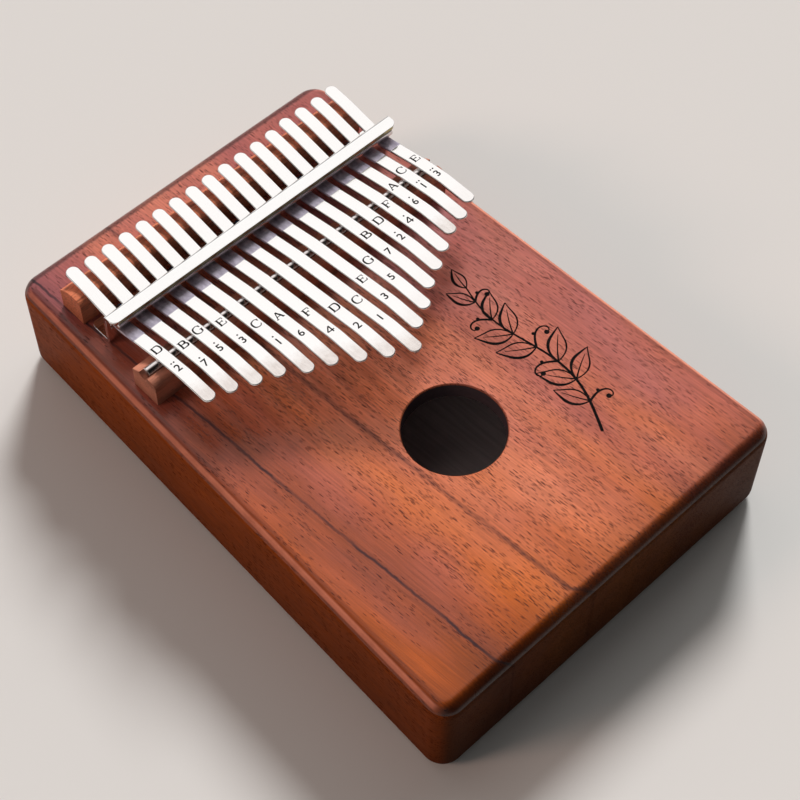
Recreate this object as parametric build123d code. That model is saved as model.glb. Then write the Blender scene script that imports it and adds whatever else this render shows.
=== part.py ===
# A seventeen-key thumb piano: a routed mahogany soundbox with spring-steel tines. Each tine rests on
# a rear bridge and on a rod in the front bridge, and is bent down between them by a pressure rod,
# which lies under the lip of a Z-shaped bracket that is screwed to the soundbox.
# Millimetres. X runs across the tines, +Y points to their fixed ends, and +Z is up. The origin is
# the centre of the soundbox's base.
import math
import os

from build123d import *

# ---- soundbox ----
BODY_LENGTH = 185.0
BODY_FRONT_WIDTH = 130.0
BODY_REAR_WIDTH = 118.0
BODY_HEIGHT = 35.0
CORNER_RADIUS = 6.5
TOP_EDGE_RADIUS = 4.2
BASE_EDGE_RADIUS = 4.2
WALL = 9.0
TOP_THICKNESS = 6.0
CAVITY_CORNER_RADIUS = 12.0
SOUND_HOLE_DIAMETER = 30.0
SOUND_HOLE_X = -1.3
SOUND_HOLE_FROM_FRONT = 61.2
SOUND_HOLE_EDGE_RADIUS = 0.5

# ---- back panel, let into a rebate round the cavity ----
PANEL_THICKNESS = 3.0
PANEL_LEDGE = 3.5
PANEL_CLEARANCE = 0.1

# ---- tines ----
# semitones above the lowest note, from the leftmost tine to the rightmost
NOTES = (26, 23, 19, 16, 12, 9, 5, 2, 0, 4, 7, 11, 14, 17, 21, 24, 28)
# how far each tine has been drawn forward of its calculated length to tune it
TUNING = (-0.2, -0.2, -0.5, -0.7, -0.1, -0.6, -0.9, -0.8, 0, 0.2, 0.7, 0.9, 0.7, -0.1, 0, 0.5, 0)
# how far each tine's rear end stands out behind the shortest of them
REAR_OVERHANG = (0.5, 0, 0, 0, 0, 0, 0, 0, 0, 0, 0, 0, 0.3, 1.0, 0.9, 0.7, 1.1)
LONGEST_PLAYING_LENGTH = 50.1
# halving a tine's length raises its note by 12 semitones over this number
LENGTH_EXPONENT = 0.559
SEMITONES_IN_OCTAVE = 12
TINE_WIDTH = 4.2
TINE_THICKNESS = 1.0
TINE_PITCH = 6.27
TINE_ROW_X = 1.9
TINE_REAR_LENGTH = 23.3
# slopes of the tine's centreline: rise over run, named from the tip to the rear end
PLAYING_SLOPE = 0.14
FRONT_BEND_BEHIND_ROD = 1.2
SETTLING_ROUNDS = 6
REAR_SLOPE = 0.19
TAIL_FROM_PRESSURE_ROD = 17.1
TAIL_SLOPE = 0.085
TIP_BEND_FROM_END = 12.0
TIP_BEND_RADIUS = 22.0
TINE_BEND_RADIUS = 14.0
TAIL_BEND_RADIUS = 40.0

# ---- front bridge and the steel rod in its groove ----
FRONT_ROD_FROM_REAR = 56.3
FRONT_ROD_HEIGHT = 9.0
ROD_DIAMETER = 3.2
FRONT_BRIDGE_MARGIN = 3.75
FRONT_BRIDGE_OFFSET = -1.7
FRONT_BRIDGE_BEFORE_ROD = 5.3
FRONT_BRIDGE_BEHIND_ROD = 4.9
FRONT_BRIDGE_OVER_ROD_AXIS = 0.3
FRONT_BRIDGE_REAR_DROP = 1.8
FRONT_BRIDGE_NOSE_RADIUS = 2.4
FRONT_ROD_END_INSET = 1.35
GROOVE_CLEARANCE = 0.05

# ---- rear bridge ----
REAR_BRIDGE_MARGIN = 1.7
REAR_BRIDGE_OFFSET = -1.35
REAR_BRIDGE_DEPTH = 9.6
REAR_BRIDGE_FROM_PRESSURE_ROD = 12.6
REAR_BRIDGE_CREST_SETBACK = 1.8
REAR_BRIDGE_NOSE_DROP = 1.4
REAR_BRIDGE_REAR_DROP = 2.3

# ---- pressure rod and Z bracket ----
PRESSURE_ROD_FROM_FRONT_ROD = 18.2
PRESSURE_ROD_HEIGHT = 9.65
PRESSURE_ROD_MARGIN = 0.55
PRESSURE_ROD_OFFSET = 0.4
BRACKET_MARGIN = 2.35
BRACKET_OFFSET = 0.5
BRACKET_SHEET = 1.2
BRACKET_INNER_BEND_RADIUS = 0.3
BRACKET_WEB_FROM_ROD = 0.5
BRACKET_BASE_DEPTH = 8.7
BRACKET_LIP_CORNER_RADIUS = 2.4
SLOT_SIDE_CLEARANCE = 0.5
SLOT_END_CLEARANCE = 1.2
SLOT_CORNER_RADIUS = 0.4

# ---- bracket screws ----
# places along the bracket, from the middle of the row of tines
SCREW_OFFSETS = (-44.5, -25.0, 0.0, 25.0, 44.5)
SCREW_FROM_BASE_EDGE = 3.1
SCREW_HEAD_DIAMETER = 6.0
SCREW_HEAD_HEIGHT = 2.1
SCREW_SHANK_DIAMETER = 3.0
SCREW_SHANK_LENGTH = 5.8
SCREW_RECESS_WIDTH = 0.8
SCREW_RECESS_REACH = 3.2
SCREW_RECESS_DEPTH = 1.1
PILOT_CLEARANCE = 0.05
BRACKET_HOLE_CLEARANCE = 0.2

# metal lies this far from what it bears on, so that no two pieces share any space
SEAT_GAP = 0.03

# ---- worked out from the values above ----
TINE_COUNT = len(NOTES)
ROW_WIDTH = TINE_PITCH * (TINE_COUNT - 1) + TINE_WIDTH
ROD_RADIUS = ROD_DIAMETER / 2
FRONT_ROD_Y = BODY_LENGTH / 2 - FRONT_ROD_FROM_REAR
FRONT_ROD_Z = BODY_HEIGHT + FRONT_ROD_HEIGHT
PRESSURE_ROD_Y = FRONT_ROD_Y + PRESSURE_ROD_FROM_FRONT_ROD
PRESSURE_ROD_Z = BODY_HEIGHT + PRESSURE_ROD_HEIGHT
REAR_BRIDGE_Y = PRESSURE_ROD_Y + REAR_BRIDGE_FROM_PRESSURE_ROD
# from a rod's axis to the centreline of a tine that bears on it
ROD_TO_TINE = ROD_RADIUS + SEAT_GAP + TINE_THICKNESS / 2
WEB_FRONT_Y = PRESSURE_ROD_Y + ROD_RADIUS + BRACKET_WEB_FROM_ROD
BASE_REAR_Y = WEB_FRONT_Y + BRACKET_BASE_DEPTH
SCREW_Y = BASE_REAR_Y - SCREW_FROM_BASE_EDGE


def along_x(section, width, middle):
    """A solid of one section in the YZ plane, run along X about the given middle."""
    return extrude(Plane.YZ.offset(middle - width / 2) * section, width)


def tapered_outline(inset, radius):
    """The soundbox's plan outline, moved in by the given distance, with rounded corners."""
    front, rear = inset - BODY_LENGTH / 2, BODY_LENGTH / 2 - inset
    half_taper = (BODY_FRONT_WIDTH - BODY_REAR_WIDTH) / 2
    # a slanting side that moves in square to itself moves in a little further along X
    side_inset = inset * math.hypot(1, half_taper / BODY_LENGTH)

    def half_width(y):
        """Half the inset outline's width at one place along the soundbox."""
        return BODY_FRONT_WIDTH / 2 - half_taper * (y / BODY_LENGTH + 1 / 2) - side_inset

    corners = [
        (-half_width(front), front),
        (half_width(front), front),
        (half_width(rear), rear),
        (-half_width(rear), rear),
    ]
    outline = make_face(Polyline(*corners, close=True))
    return fillet(outline.vertices(), radius)


def make_body_block():
    """The soundbox, routed out from below, with a rebate for the back panel."""
    block = extrude(tapered_outline(0, CORNER_RADIUS), BODY_HEIGHT)
    block = fillet(block.faces().sort_by(Axis.Z)[-1].edges(), TOP_EDGE_RADIUS)
    block = fillet(block.faces().sort_by(Axis.Z)[0].edges(), BASE_EDGE_RADIUS)
    block -= extrude(tapered_outline(WALL, CAVITY_CORNER_RADIUS), BODY_HEIGHT - TOP_THICKNESS)
    rebate = tapered_outline(WALL - PANEL_LEDGE, CAVITY_CORNER_RADIUS + PANEL_LEDGE)
    block -= extrude(rebate, PANEL_THICKNESS)

    hole_y = SOUND_HOLE_FROM_FRONT - BODY_LENGTH / 2
    hole = Cylinder(SOUND_HOLE_DIAMETER / 2, TOP_THICKNESS * 3)
    block -= Pos(SOUND_HOLE_X, hole_y, BODY_HEIGHT) * hole
    rim = block.edges().filter_by(GeomType.CIRCLE).filter_by_position(Axis.Z, BODY_HEIGHT, BODY_HEIGHT)
    block = fillet(rim, SOUND_HOLE_EDGE_RADIUS)

    pilot_depth = SCREW_SHANK_LENGTH - BRACKET_SHEET + PILOT_CLEARANCE
    pilot = Cylinder(SCREW_SHANK_DIAMETER / 2 + PILOT_CLEARANCE, pilot_depth * 2)
    for x in screw_places():
        block -= Pos(x, SCREW_Y, BODY_HEIGHT) * pilot
    return block


def make_back_panel():
    """The panel that closes the cavity, flush with the soundbox's base."""
    inset = WALL - PANEL_LEDGE + PANEL_CLEARANCE
    radius = CAVITY_CORNER_RADIUS + PANEL_LEDGE - PANEL_CLEARANCE
    return extrude(tapered_outline(inset, radius), PANEL_THICKNESS)


def make_front_bridge():
    """A wooden block with a rounded nose, a sloping rear top and a groove for the rod."""
    front = FRONT_ROD_Y - FRONT_BRIDGE_BEFORE_ROD
    rear = FRONT_ROD_Y + FRONT_BRIDGE_BEHIND_ROD
    top = FRONT_ROD_Z + FRONT_BRIDGE_OVER_ROD_AXIS
    outline = Polyline(
        (front, BODY_HEIGHT),
        (rear, BODY_HEIGHT),
        (rear, top - FRONT_BRIDGE_REAR_DROP),
        (FRONT_ROD_Y + ROD_RADIUS, top),
        (front, top),
        close=True,
    )
    section = make_face(outline)
    nose = section.vertices().sort_by(Axis.Y)[-2:].sort_by(Axis.X)[0]
    section = fillet(nose, FRONT_BRIDGE_NOSE_RADIUS)
    groove = Circle(ROD_RADIUS + GROOVE_CLEARANCE)
    mouth = Rectangle(ROD_DIAMETER + 2 * GROOVE_CLEARANCE, ROD_DIAMETER, align=(Align.CENTER, Align.MIN))
    section -= Pos(FRONT_ROD_Y, FRONT_ROD_Z) * (groove + mouth)
    return along_x(section, ROW_WIDTH + 2 * FRONT_BRIDGE_MARGIN, TINE_ROW_X + FRONT_BRIDGE_OFFSET)


def make_bridge_rod():
    """The steel rod in the front bridge, over which the tines ring."""
    length = ROW_WIDTH + 2 * (FRONT_BRIDGE_MARGIN - FRONT_ROD_END_INSET)
    section = Pos(FRONT_ROD_Y, FRONT_ROD_Z) * Circle(ROD_RADIUS)
    return along_x(section, length, TINE_ROW_X + FRONT_BRIDGE_OFFSET)


def make_pressure_rod():
    """The steel rod that bears down on all the tines, under the bracket's lip."""
    section = Pos(PRESSURE_ROD_Y, PRESSURE_ROD_Z) * Circle(ROD_RADIUS)
    return along_x(section, ROW_WIDTH + 2 * PRESSURE_ROD_MARGIN, TINE_ROW_X + PRESSURE_ROD_OFFSET)


def make_rear_bridge():
    """The crowned wooden block under the tines' rear ends, with its crest near the front."""
    front, rear = REAR_BRIDGE_Y, REAR_BRIDGE_Y + REAR_BRIDGE_DEPTH
    crest_y = front + REAR_BRIDGE_CREST_SETBACK
    below_centreline = (TINE_THICKNESS / 2 + SEAT_GAP) * math.hypot(1, REAR_SLOPE)
    crest_z = rear_line_height(crest_y) - below_centreline
    nose_z = crest_z - REAR_BRIDGE_NOSE_DROP
    rear_z = crest_z - REAR_BRIDGE_REAR_DROP
    nose = TangentArc((crest_y, crest_z), (front, nose_z), tangent=(-1, -REAR_SLOPE))
    block = Polyline((front, nose_z), (front, BODY_HEIGHT), (rear, BODY_HEIGHT), (rear, rear_z))
    crown = TangentArc((crest_y, crest_z), (rear, rear_z), tangent=(1, REAR_SLOPE))
    section = make_face([*nose.edges(), *block.edges(), *crown.edges()])
    return along_x(section, ROW_WIDTH + 2 * REAR_BRIDGE_MARGIN, TINE_ROW_X + REAR_BRIDGE_OFFSET)


def front_bend():
    """Where the tine bends down behind the front rod."""
    bend_y = FRONT_ROD_Y + FRONT_BEND_BEHIND_ROD
    return bend_y, playing_line_height(bend_y)


def valley_point():
    """Where the tine's two slopes under the pressure rod would meet if they weren't rounded."""
    bend_y, bend_z = front_bend()
    rear_angle = math.atan(REAR_SLOPE)
    run_angle = rear_angle
    # the valley's place and the slope down to it depend on each other, so they settle in turn
    for _ in range(SETTLING_ROUNDS):
        lean = (rear_angle - run_angle) / 2
        rounding = TINE_BEND_RADIUS * (1 / math.cos((rear_angle + run_angle) / 2) - 1)
        drop = ROD_TO_TINE + rounding
        valley_y = PRESSURE_ROD_Y + drop * math.sin(lean)
        valley_z = PRESSURE_ROD_Z - drop * math.cos(lean)
        run_angle = math.atan2(bend_z - valley_z, valley_y - bend_y)
    return valley_y, valley_z


def rear_line_height(y):
    """The height of the tine's centreline behind the pressure rod, as far as its tail."""
    valley_y, valley_z = valley_point()
    return valley_z + REAR_SLOPE * (y - valley_y)


def playing_line_height(y):
    """The height of the tine's centreline over the front rod and on towards its tip."""
    over_rod = FRONT_ROD_Z + ROD_TO_TINE * math.hypot(1, PLAYING_SLOPE)
    return over_rod + PLAYING_SLOPE * (FRONT_ROD_Y - y)


def playing_length(index):
    """The length of one tine in front of the front rod's axis."""
    octaves = NOTES[index] / SEMITONES_IN_OCTAVE
    return LONGEST_PLAYING_LENGTH * 2 ** (-LENGTH_EXPONENT * octaves) + TUNING[index]


def tine_x(index):
    """The place of one tine's middle across the row."""
    return TINE_ROW_X + TINE_PITCH * (index - (TINE_COUNT - 1) / 2)


def make_tine(index):
    """One tine: a strip with round ends that dips under the pressure rod and levels at its tip."""
    tip_y = FRONT_ROD_Y - playing_length(index)
    rear_y = PRESSURE_ROD_Y + TINE_REAR_LENGTH + REAR_OVERHANG[index]
    bend_y = tip_y + TIP_BEND_FROM_END
    bend_z = playing_line_height(bend_y)
    tail_y = PRESSURE_ROD_Y + TAIL_FROM_PRESSURE_ROD
    tail_z = rear_line_height(tail_y)
    # the centreline runs on past both ends, which the plan outline then trims
    spare = TINE_THICKNESS
    centreline = FilletPolyline(
        (tip_y - spare, bend_z),
        (bend_y, bend_z),
        front_bend(),
        valley_point(),
        (tail_y, tail_z),
        (rear_y + spare, tail_z + TAIL_SLOPE * (rear_y + spare - tail_y)),
        radius=[TIP_BEND_RADIUS] + 2 * [TINE_BEND_RADIUS] + [TAIL_BEND_RADIUS],
    )
    strip = along_x(trace(centreline, TINE_THICKNESS), TINE_WIDTH * 2, tine_x(index))
    plan = Rot(0, 0, 90) * SlotOverall(rear_y - tip_y, TINE_WIDTH)
    plan = Pos(tine_x(index), (tip_y + rear_y) / 2, BODY_HEIGHT) * plan
    return strip & extrude(plan, bend_z)


def make_z_bracket():
    """The steel bracket: a base under the screws, a slotted web and a lip over the pressure rod."""
    lip_under_z = PRESSURE_ROD_Z + ROD_RADIUS + SEAT_GAP
    lip_front_y = PRESSURE_ROD_Y - ROD_RADIUS
    base_z = BODY_HEIGHT + SEAT_GAP + BRACKET_SHEET / 2
    web_y = WEB_FRONT_Y + BRACKET_SHEET / 2
    lip_z = lip_under_z + BRACKET_SHEET / 2
    bend = BRACKET_INNER_BEND_RADIUS + BRACKET_SHEET / 2
    centreline = FilletPolyline(
        (lip_front_y, lip_z), (web_y, lip_z), (web_y, base_z), (BASE_REAR_Y, base_z), radius=bend
    )
    length = ROW_WIDTH + 2 * BRACKET_MARGIN
    middle = TINE_ROW_X + BRACKET_OFFSET
    bracket = along_x(trace(centreline, BRACKET_SHEET), length, middle)

    uprights = bracket.edges().filter_by(Axis.Z)
    ends = uprights.filter_by_position(Axis.Y, lip_front_y - SEAT_GAP, lip_front_y + SEAT_GAP)
    ends += uprights.filter_by_position(Axis.Y, BASE_REAR_Y - SEAT_GAP, BASE_REAR_Y + SEAT_GAP)
    bracket = fillet(ends, BRACKET_LIP_CORNER_RADIUS)

    tine_z = rear_line_height(web_y)
    slot_height = TINE_THICKNESS + 2 * SLOT_END_CLEARANCE
    slot = RectangleRounded(TINE_WIDTH + 2 * SLOT_SIDE_CLEARANCE, slot_height, SLOT_CORNER_RADIUS)
    cutter = extrude(Plane.XZ * slot, BRACKET_SHEET, both=True)
    for index in range(TINE_COUNT):
        bracket -= Pos(tine_x(index), web_y, tine_z) * cutter
    hole = Cylinder(SCREW_SHANK_DIAMETER / 2 + BRACKET_HOLE_CLEARANCE, BRACKET_SHEET * 2)
    for x in screw_places():
        bracket -= Pos(x, SCREW_Y, base_z) * hole
    return bracket


def screw_places():
    """The places of the bracket's screws across the soundbox."""
    return [TINE_ROW_X + offset for offset in SCREW_OFFSETS]


def make_bracket_screws():
    """The domed screws with crossed recesses that hold the bracket down."""
    head_z = BODY_HEIGHT + BRACKET_SHEET + 2 * SEAT_GAP
    radius = SCREW_HEAD_DIAMETER / 2
    dome_radius = (radius**2 + SCREW_HEAD_HEIGHT**2) / (2 * SCREW_HEAD_HEIGHT)
    dome = Pos(0, 0, SCREW_HEAD_HEIGHT - dome_radius) * Sphere(dome_radius)
    head = dome & Cylinder(radius, SCREW_HEAD_HEIGHT, align=(Align.CENTER, Align.CENTER, Align.MIN))
    shank_length = SCREW_SHANK_LENGTH + 2 * SEAT_GAP
    shank = Cylinder(
        SCREW_SHANK_DIAMETER / 2, shank_length, align=(Align.CENTER, Align.CENTER, Align.MAX)
    )
    bar = Box(SCREW_RECESS_REACH, SCREW_RECESS_WIDTH, 2 * SCREW_RECESS_DEPTH)
    recess = bar + Rot(0, 0, 90) * bar
    screw = head + shank - Pos(0, 0, SCREW_HEAD_HEIGHT) * recess
    return Compound([Pos(x, SCREW_Y, head_z) * screw for x in screw_places()])


def main():
    """Build every piece and write each to a STEP file of its own."""
    nodes = {
        "body_block": make_body_block(),
        "back_panel": make_back_panel(),
        "front_bridge": make_front_bridge(),
        "bridge_rod": make_bridge_rod(),
        "rear_bridge": make_rear_bridge(),
        "pressure_rod": make_pressure_rod(),
        "z_bracket": make_z_bracket(),
        "bracket_screws": make_bracket_screws(),
    }
    for index in range(TINE_COUNT):
        nodes[f"tine_{index + 1:02d}"] = make_tine(index)
    os.makedirs("parts", exist_ok=True)
    for name, shape in nodes.items():
        export_step(shape, f"parts/{name}.step")


if __name__ == "__main__":
    main()
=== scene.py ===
# A seventeen-key thumb piano, finished for rendering: its soundbox, bridges, bracket, tines, note
# marks and a printed sprig, with the stage that they are shown on. Lengths are modelled in
# millimetres and stored in metres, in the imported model's own frame.
import math
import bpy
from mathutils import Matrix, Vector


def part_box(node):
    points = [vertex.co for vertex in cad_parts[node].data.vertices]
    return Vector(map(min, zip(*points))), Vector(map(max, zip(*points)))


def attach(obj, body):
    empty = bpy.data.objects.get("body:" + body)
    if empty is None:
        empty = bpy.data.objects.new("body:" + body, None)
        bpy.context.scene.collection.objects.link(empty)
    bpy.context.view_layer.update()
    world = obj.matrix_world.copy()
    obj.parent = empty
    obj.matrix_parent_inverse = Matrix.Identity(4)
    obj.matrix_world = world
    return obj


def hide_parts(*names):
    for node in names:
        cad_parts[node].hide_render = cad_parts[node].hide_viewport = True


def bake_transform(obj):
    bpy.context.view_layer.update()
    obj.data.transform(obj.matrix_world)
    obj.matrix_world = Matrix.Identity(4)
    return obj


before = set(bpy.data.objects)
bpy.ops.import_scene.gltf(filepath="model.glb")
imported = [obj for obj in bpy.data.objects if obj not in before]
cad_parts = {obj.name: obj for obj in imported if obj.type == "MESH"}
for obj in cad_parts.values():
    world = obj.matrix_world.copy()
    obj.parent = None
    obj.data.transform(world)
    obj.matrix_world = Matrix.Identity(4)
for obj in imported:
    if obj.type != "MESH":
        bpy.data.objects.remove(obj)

from types import SimpleNamespace

import bmesh
import bpy
from bpy.props import FloatProperty, FloatVectorProperty, IntProperty, PointerProperty
from mathutils import Matrix, Quaternion, Vector

bl_info = {
    "name": "Thumb Piano",
    "version": (1, 0, 0),
    "blender": (4, 5, 0),
    "location": "3D View > Sidebar > Thumb Piano",
    "description": "Builds a seventeen-key thumb piano piece by piece",
    "category": "Object",
}

MM = 0.001
ROOT = "soundbox"
TINES = sorted(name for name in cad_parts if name.startswith("tine_"))
UP = Vector((0, 0, 1))
# how near two places count as one, and how near two corners are merged, in millimetres
NEAR = 1e-4
MERGE = 0.0005
# the room between the front bridge's groove and its rod, and between the pressure rod and the web
GROOVE_PLAY = 0.05
WEB_GAP = 0.5
# how far a tine's end falls short of a full round, so that the two corners don't meet
ROUND_SHORT = 0.002
# the height of a typed digit at a type size of one, and where the open four's middle lies across it
DIGIT_HEIGHT = 0.72
FOUR_MIDDLE = 0.45
# the sprig's stem: its foot, how far it runs, and how far and how many times it sways
FOOT_X, FOOT_Y, RUN_X, RUN_Y, SWAY, SWAYS = 28, -60, 11, 61, 4.5, 0.85
# the radii of the sprig's berries and buds
BERRY, BUD = 0.8, 0.55
# half the floor's side in millimetres, and the place that the camera looks at in metres
FLOOR_SIZE = 20000
AIM = Vector((0.002858, -0.005310, 0.016782))

# the marks and wear from the leftmost tine to the rightmost: letter, number, dots over the number, how
# far the letter's middle lies from the tip in millimetres, and how far the tip is ground dull
MARKS = (
    ("D", "2", 2, 24.3, 0.9), ("B", "7", 1, 22.4, 0.9), ("G", "5", 1, 26.5, 0.8), ("E", "3", 1, 26.5, 1.0),
    ("C", "1", 1, 23.4, 0.9), ("A", "6", 0, 24.1, 1.0), ("F", "4", 0, 23.9, 0.8), ("D", "2", 0, 23.9, 0.8),
    ("C", "1", 0, 25.3, 1.0), ("E", "3", 0, 24.2, 0.35), ("G", "5", 0, 24.6, 0.2), ("B", "7", 0, 27.7, 0.15),
    ("D", "2", 1, 25.8, 0.2), ("F", "4", 1, 25.0, 0.1), ("A", "6", 1, 25.8, 0.8), ("C", "1", 2, 26.8, 0.3),
    ("E", "3", 2, 24.2, 0.2),
)

# the letters and the open four as pen strokes on a body one high: each point is x, y and half its width
SERIF, THIN, EVEN, THICK = 0.042, 0.052, 0.075, 0.098
STEM = ((0.20, 0.02, THICK), (0.20, 0.98, THICK))
ROUND = (
    (0.86, 0.74, THIN), (0.80, 1.02, THIN), (0.44, 1.06, 0.05), (0.03, 0.86, THICK), (0.03, 0.14, THICK),
    (0.44, -0.06, 0.05), (0.80, -0.01, THIN), (0.88, 0.24, THIN),
)
LETTERS = {
    "A": (
        ((0.10, 0.02, THIN), (0.47, 1.0, THIN)),
        ((0.47, 1.0, THICK), (0.86, 0.02, THICK)),
        ((0.22, 0.34, THIN), (0.72, 0.34, THIN)),
        ((-0.02, 0.02, SERIF), (0.24, 0.02, SERIF)),
        ((0.70, 0.02, SERIF), (1.00, 0.02, SERIF)),
    ),
    "B": (
        STEM,
        ((0.03, 0.98, SERIF), (0.44, 0.99, THIN), (0.80, 0.96, THICK), (0.80, 0.56, THICK),
         (0.40, 0.53, THIN), (0.20, 0.53, THIN)),
        ((0.20, 0.53, THIN), (0.50, 0.54, THIN), (0.92, 0.48, THICK), (0.92, 0.04, THICK), (0.46, 0.01, THIN),
         (0.03, 0.02, SERIF)),
    ),
    "C": (ROUND, ((0.87, 0.70, SERIF), (0.88, 1.0, SERIF))),
    "D": (
        STEM,
        ((0.03, 0.98, SERIF), (0.42, 1.0, THIN), (0.98, 0.98, THICK), (0.98, 0.02, THICK), (0.42, 0.0, THIN),
         (0.03, 0.02, SERIF)),
    ),
    "E": (
        STEM,
        ((0.03, 0.98, SERIF), (0.80, 0.98, THIN)),
        ((0.20, 0.52, THIN), (0.64, 0.52, THIN)),
        ((0.03, 0.02, SERIF), (0.84, 0.02, THIN)),
        ((0.80, 0.98, THIN), (0.81, 0.74, SERIF)),
        ((0.64, 0.64, SERIF), (0.64, 0.40, SERIF)),
        ((0.84, 0.02, THIN), (0.87, 0.28, SERIF)),
    ),
    "F": (
        STEM,
        ((0.03, 0.98, SERIF), (0.80, 0.98, THIN)),
        ((0.20, 0.50, THIN), (0.62, 0.50, THIN)),
        ((0.03, 0.02, SERIF), (0.40, 0.02, SERIF)),
        ((0.80, 0.98, THIN), (0.81, 0.72, SERIF)),
        ((0.62, 0.62, SERIF), (0.62, 0.38, SERIF)),
    ),
    "4": (
        ((0.60, 1.0, EVEN), (0.02, 0.30, EVEN)),
        ((0.02, 0.28, EVEN), (0.88, 0.28, EVEN)),
        ((0.62, 1.0, 0.08), (0.62, 0.0, 0.08)),
    ),
    "G": (
        ROUND[:-1] + ((0.84, 0.06, THIN),),
        ((0.84, 0.42, THICK), (0.84, 0.08, THICK)),
        ((0.66, 0.43, SERIF), (1.0, 0.43, SERIF)),
        ((0.87, 0.70, SERIF), (0.88, 1.0, SERIF)),
    ),
}


def box_mm(node):
    """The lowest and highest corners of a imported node, in millimetres."""
    low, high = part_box(node)
    return low / MM, high / MM


def length(name, description, value_mm):
    """A length property, shown in the scene's units, with its default given in millimetres."""
    default = value_mm * MM
    return FloatProperty(name=name, description=description, default=default, unit="LENGTH", precision=5)


def angle(name, description, degrees):
    """An angle property, with its default given in degrees."""
    return FloatProperty(name=name, description=description, default=math.radians(degrees), subtype="ANGLE")


def number(name, description, value):
    """A plain number that isn't negative."""
    return FloatProperty(name=name, description=description, default=value, min=0, precision=3)


def share(name, description, value):
    """A property between nought and one."""
    return FloatProperty(name=name, description=description, default=value, min=0, max=1)


def colour(name, description, value):
    """A colour property."""
    return FloatVectorProperty(
        name=name, description=description, default=value, subtype="COLOR", size=3, min=0, max=2
    )


# ---------------------------------------------------------------- settings


class SoundboxSettings(bpy.types.PropertyGroup):
    """Sizes and colours of the wooden soundbox."""

    front_width: length("Front width", "Width over the front corners before they are rounded", 130.0)
    rear_width: length("Rear width", "Width over the rear corners before they are rounded", 118.0)
    corner_radius: length("Corner radius", "Radius of the upright corners", 6.5)
    edge_radius: length("Edge radius", "Radius of the top and base edges", 4.2)
    wall: length("Wall", "Thickness of the sides", 9.0)
    top_thickness: length("Top thickness", "Thickness of the top over the cavity", 6.0)
    cavity_radius: length("Cavity radius", "Radius of the cavity's upright corners", 12.0)
    ledge: length("Ledge", "Width of the rebate that holds the back panel", 3.5)
    hole_diameter: length("Hole diameter", "Diameter of the sound hole", 30.0)
    hole_x: length("Hole place across", "Place of the sound hole's middle across the box", -1.3)
    hole_from_front: length("Hole from front", "Distance of the hole's middle from the front", 61.2)
    hole_rim: length("Hole rim", "Radius of the sound hole's softened rim", 0.5)
    panel_bevel: length("Panel bevel", "Softened edge of the back panel", 0.3)
    light: colour("Light wood", "Colour of the palest bands", (0.74, 0.245, 0.150))
    middle: colour("Middle wood", "Colour of most of the wood", (0.50, 0.146, 0.118))
    dark: colour("Dark wood", "Colour of the darkest bands", (0.285, 0.085, 0.095))
    amber: colour("Amber cast", "Tint of the stain towards the front and the left", (0.93, 0.64, 0.10))
    # the front and rear edges are darkened with this tint: partly a darker stain, partly painted shade on
    # their round-overs
    edge_stain_and_shade: colour("Darkened edge", "Tint of the front edge, rubbed dark", (0.20, 0.19, 0.20))
    # this paler colour on the side edges is partly worn stain and partly a painted highlight
    worn: colour("Worn edge", "Colour of the top edge where the stain has worn thin", (0.80, 0.26, 0.15))
    pore: colour("Pores", "Colour of the open pores", (0.050, 0.016, 0.016))
    streak: colour("Grain lines", "Colour of the long dark lines in the grain", (0.034, 0.018, 0.024))
    inside: colour("Inside", "Colour of the bare wood inside", (0.98, 0.80, 0.78))
    grain_turn: angle("Grain turn", "Turn of the grain from the box's length", 3.6)
    roughness: share("Roughness", "Roughness of the satin lacquer", 0.28)


class BridgeSettings(bpy.types.PropertyGroup):
    """Sizes and colours of the two wooden bridges and the steel rods."""

    nose_radius: length("Nose radius", "Radius of the front bridge's nose", 2.4)
    rear_drop: length("Rear drop", "Drop of the front bridge's top behind the rod", 1.8)
    over_axis: length("Over axis", "Height of the front bridge over the rod's axis", 0.3)
    crest_setback: length("Crest setback", "Distance of the rear bridge's crest from its front", 1.8)
    nose_drop: length("Nose drop", "Drop of the rear bridge's top in front of its crest", 1.4)
    crown_drop: length("Crown drop", "Drop of the rear bridge's top behind its crest", 2.3)
    edge: length("Edge", "Softened edges of the bridges", 0.25)
    rod_chamfer: length("Rod chamfer", "Chamfer on the rods' ends", 0.3)
    rear_wood: colour("Rear bridge", "Colour of the rear bridge", (0.66, 0.20, 0.10))
    front_wood: colour("Front bridge", "Colour of the front bridge", (0.52, 0.205, 0.13))


class BracketSettings(bpy.types.PropertyGroup):
    """Sizes of the Z bracket."""

    sheet: length("Sheet", "Thickness of the bracket's sheet", 1.2)
    bend_radius: length("Bend radius", "Inner radius of the bends", 0.3)
    lip_corner: length("Lip corner", "Radius of the lip's front corners", 2.4)
    slot_side: length("Slot side", "Clearance beside a tine in its slot", 0.5)
    slot_end: length("Slot end", "Clearance over and under a tine in its slot", 1.2)
    edge: length("Edge", "Softened edges of the sheet", 0.12)


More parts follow.
